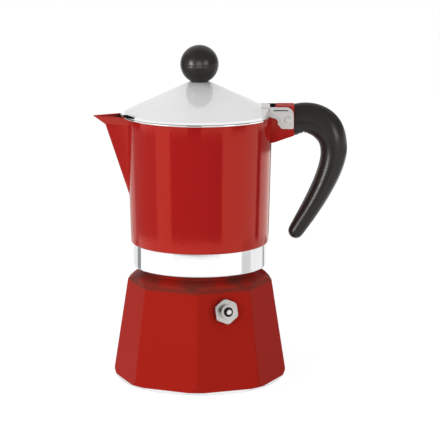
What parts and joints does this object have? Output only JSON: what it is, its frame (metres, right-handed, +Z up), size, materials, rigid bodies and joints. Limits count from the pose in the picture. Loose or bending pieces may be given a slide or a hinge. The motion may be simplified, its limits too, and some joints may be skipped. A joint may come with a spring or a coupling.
{
  "type": "moka pot",
  "caption": "Stovetop moka pot: octagonal boiler with safety valve, screw-on jug with spout and open handle, hinged conical lid with ball knob.",
  "frame": {"origin": "centre of the flat base, on the pot's axis", "axes": "+Z up along the pot's axis, -X towards the spout, +X towards the handle and the lid's hinge"},
  "size_m": [0.1276, 0.087, 0.17],
  "materials": {
    "red_enamel": "gloss, baked red paint on cast aluminium",
    "jug_enamel": "gloss, baked red paint on cast aluminium; bare polished metal on the band",
    "cast_aluminium": "satin",
    "polished_aluminium": "polished",
    "nickel": "nickel plated",
    "steel": "satin",
    "spring_steel": "drawn wire",
    "black_plastic": "satin",
    "white_rubber": "matt",
    "black_rubber": "matt"
  },
  "bodies": {
    "boiler": {"boiler": "red_enamel", "valve_body": "nickel", "valve_washer": "black_rubber", "valve_bush": "nickel", "valve_spring": "spring_steel", "funnel_cup": "cast_aluminium", "funnel_tube": "cast_aluminium", "funnel_plate": "cast_aluminium"},
    "valve": {"valve_plunger": "nickel", "valve_seal": "black_rubber"},
    "seal": {"gasket": "white_rubber", "filter_plate": "cast_aluminium"},
    "jug": {"collector": "jug_enamel", "riser_column": "cast_aluminium", "handle": "black_plastic", "handle_screw": "steel"},
    "lid": {"lid": "polished_aluminium", "hinge_pin": "steel", "knob": "black_plastic", "knob_washer": "steel", "knob_screw": "steel"}
  },
  "joints": [
    {"name": "jug_rise", "type": "slide", "parent": "boiler", "child": "seal", "axis": [0, 0, 1], "range_m": [0, 0.0046]},
    {"name": "jug_turn", "type": "hinge", "parent": "seal", "child": "jug", "pos_m": [0, 0, 0.066], "axis": [0, 0, 1], "range_deg": [0, 540]},
    {"name": "lid_hinge", "type": "hinge", "parent": "jug", "child": "lid", "pos_m": [0.0439, 0, 0.1333], "axis": [0, 1, 0], "range_deg": [0, 92]},
    {"name": "valve_lift", "type": "slide", "parent": "boiler", "child": "valve", "axis": [0.3451, -0.928, 0.1404], "range_m": [0, 0.0016], "stiffness_N_per_m": 400, "deforming": ["valve_spring"]}
  ],
  "couplings": [
    {"joint": "jug_rise", "follows": "jug_turn", "m_per_rad": 0.00047746}
  ]
}
